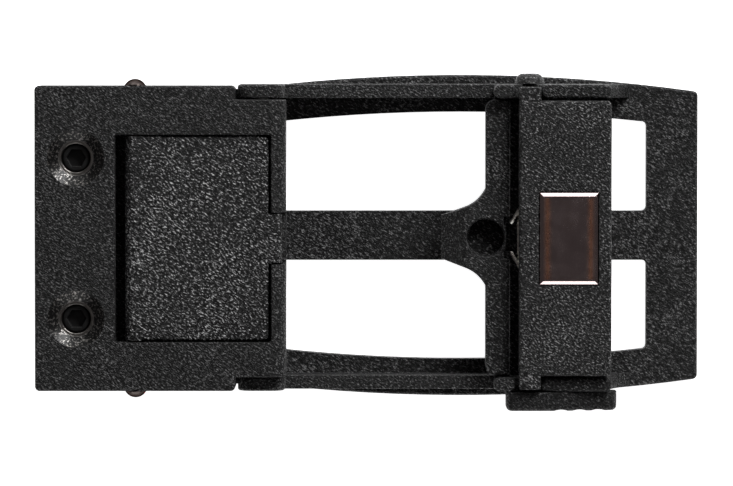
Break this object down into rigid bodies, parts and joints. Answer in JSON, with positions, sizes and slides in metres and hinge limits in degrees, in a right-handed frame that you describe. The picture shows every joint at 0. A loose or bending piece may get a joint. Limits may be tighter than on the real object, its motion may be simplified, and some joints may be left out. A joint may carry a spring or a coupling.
{
  "type": "belt buckle",
  "caption": "Ratchet belt buckle with a hinged strap clamp box, a lift-up clamp lever, a sprung toothed pawl with a side release lever, and an open face frame.",
  "frame": {"origin": "centre of the face plate's flat front face", "axes": "+X along the belt towards the end where the loose strap enters, +Y across the belt, +Z from the front face towards the wearer"},
  "size_m": [0.0925, 0.0468, 0.0148],
  "materials": {
    "black_coat": "fine textured black coat on a zinc casting",
    "dark_nickel": "black nickel, polished",
    "plain_steel": "turned steel",
    "black_oxide_screw": "black oxide",
    "bright_plate": "bright nickel plate",
    "spring_wire": "drawn stainless wire"
  },
  "bodies": {
    "frame": {"face_frame": "black_coat", "hinge_stud_upper": "plain_steel", "hinge_stud_lower": "plain_steel", "pawl_spring": "spring_wire"},
    "housing": {"clamp_housing": "black_coat", "lever_pin": "dark_nickel"},
    "lever": {"clamp_lever": "black_coat"},
    "screw_upper": {"set_screw_upper": "black_oxide_screw"},
    "screw_lower": {"set_screw_lower": "black_oxide_screw"},
    "pawl": {"ratchet_pawl": "black_coat", "tooth_insert": "bright_plate", "pawl_axle": "dark_nickel", "release_lever": "black_coat"}
  },
  "joints": [
    {"name": "housing_swing", "type": "hinge", "parent": "frame", "child": "housing", "pos_m": [-0.0278, 0, 0.0098], "axis": [0, 1, 0], "range_deg": [0, 55]},
    {"name": "clamp_lever_lift", "type": "hinge", "parent": "housing", "child": "lever", "pos_m": [-0.0452, 0, 0.01275], "axis": [0, -1, 0], "range_deg": [0, 110]},
    {"name": "upper_screw_travel", "type": "slide", "parent": "housing", "child": "screw_upper", "axis": [0, 0, 1], "range_m": [-0.0015, 0.0005]},
    {"name": "lower_screw_travel", "type": "slide", "parent": "housing", "child": "screw_lower", "axis": [0, 0, 1], "range_m": [-0.0015, 0.0005]},
    {"name": "pawl_tilt", "type": "hinge", "parent": "frame", "child": "pawl", "pos_m": [0.0095, 0, 0.0103], "axis": [0, -1, 0], "range_deg": [0, 15], "stiffness_Nm_per_rad": 0.02, "springref_deg": -20.05, "deforming": ["pawl_spring"]}
  ]
}
